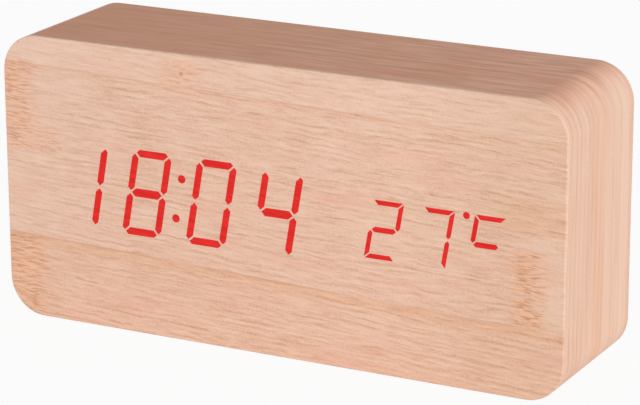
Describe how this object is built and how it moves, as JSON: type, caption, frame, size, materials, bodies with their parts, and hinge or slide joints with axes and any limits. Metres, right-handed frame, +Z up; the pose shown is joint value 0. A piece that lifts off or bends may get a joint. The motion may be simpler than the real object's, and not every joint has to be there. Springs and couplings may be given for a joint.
{
  "type": "digital led desk clock",
  "caption": "Block-shaped desk clock with rounded corners and a wood-grain film, through which lit red numerals of the time and the temperature shine.",
  "frame": {"origin": "middle of the base, on the surface that the clock stands on", "axes": "+X to the right of someone who reads the clock, +Y to its back, +Z up; the numerals face -Y"},
  "size_m": [0.15, 0.04, 0.072],
  "materials": {
    "front_wood_film": "fine wood grain, satin",
    "side_wood_film": "fine wood grain, satin",
    "rear_wood_film": "fine wood grain, satin",
    "fibreboard": "raw fibreboard",
    "lit_red": "lit, even",
    "white_diffuser": "frosted",
    "grey_housing": "moulded matt",
    "segment_resin": "milky resin",
    "led_chip": "clear moulding",
    "circuit_board": "solder mask",
    "screw_steel": "zinc plated",
    "black_epoxy": "moulded epoxy",
    "chip_part": "sintered",
    "can_steel": "drawn can",
    "coin_steel": "rolled",
    "black_holder": "moulded",
    "contact_metal": "nickel plated",
    "capacitor_can": "sleeved can",
    "black_sounder": "moulded",
    "microphone_can": "drawn can",
    "lead_metal": "tinned",
    "sensor_epoxy": "dipped bead",
    "socket_steel": "nickel plated",
    "socket_tongue_plastic": "moulded",
    "cover_plastic": "fine texture",
    "spring_steel": "nickel plated",
    "black_wire": "sleeved",
    "red_wire": "sleeved",
    "ribbon_grey": "sleeved",
    "cell_sleeve": "printed sleeve, plain",
    "button_plastic": "moulded",
    "switch_plastic": "moulded",
    "plunger_plastic": "moulded"
  },
  "bodies": {
    "clock": {"back_cover": "cover_plastic", "back_cover_screws": "screw_steel", "bridge_contacts": "contact_metal", "case_frame": "fibreboard", "cell_1": "cell_sleeve", "cell_2": "cell_sleeve", "cell_3": "cell_sleeve", "cell_4": "cell_sleeve", "clock_crystal": "can_steel", "coin_cell": "coin_steel", "coin_cell_clip": "contact_metal", "coin_cell_holder": "black_holder", "contact_springs": "spring_steel", "controller_chip": "black_epoxy", "display_board": "circuit_board", "display_board_resistors": "chip_part", "display_board_screws": "screw_steel", "display_driver_chip": "black_epoxy", "display_leds": "led_chip", "down_switch": "switch_plastic", "front_film": "front_wood_film", "main_board": "circuit_board", "main_board_passives": "chip_part", "main_board_screws": "screw_steel", "microphone": "microphone_can", "microphone_leads": "lead_metal", "negative_contact": "contact_metal", "negative_wire": "black_wire", "positive_contact": "contact_metal", "positive_wire": "red_wire", "power_capacitor": "capacitor_can", "power_socket_shell": "socket_steel", "power_socket_tongue": "socket_tongue_plastic", "rear_film": "rear_wood_film", "ribbon_cable": "ribbon_grey", "set_switch": "switch_plastic", "sounder": "black_sounder", "temperature_diffuser": "white_diffuser", "temperature_display_housing": "grey_housing", "temperature_light_windows": "lit_red", "temperature_segment_fills": "segment_resin", "temperature_sensor": "sensor_epoxy", "time_diffuser": "white_diffuser", "time_display_housing": "grey_housing", "time_light_windows": "lit_red", "time_segment_fills": "segment_resin", "up_switch": "switch_plastic", "wrap_film": "side_wood_film"},
    "battery_door": {"battery_door": "cover_plastic"},
    "set_button": {"set_button": "button_plastic", "set_switch_plunger": "plunger_plastic"},
    "up_button": {"up_button": "button_plastic", "up_switch_plunger": "plunger_plastic"},
    "down_button": {"down_button": "button_plastic", "down_switch_plunger": "plunger_plastic"}
  },
  "joints": [
    {"name": "battery_door_hinge", "type": "hinge", "parent": "clock", "child": "battery_door", "pos_m": [-0.03055, 0.0177, 0.0134], "axis": [-1, 0, 0], "range_deg": [0, 80]},
    {"name": "set_button_press", "type": "slide", "parent": "clock", "child": "set_button", "axis": [0, -1, 0], "range_m": [0, 0.0003], "stiffness_N_per_m": 1000, "springref_m": -0.0005},
    {"name": "up_button_press", "type": "slide", "parent": "clock", "child": "up_button", "axis": [0, -1, 0], "range_m": [0, 0.0003], "stiffness_N_per_m": 1000, "springref_m": -0.0005},
    {"name": "down_button_press", "type": "slide", "parent": "clock", "child": "down_button", "axis": [0, -1, 0], "range_m": [0, 0.0003], "stiffness_N_per_m": 1000, "springref_m": -0.0005}
  ]
}
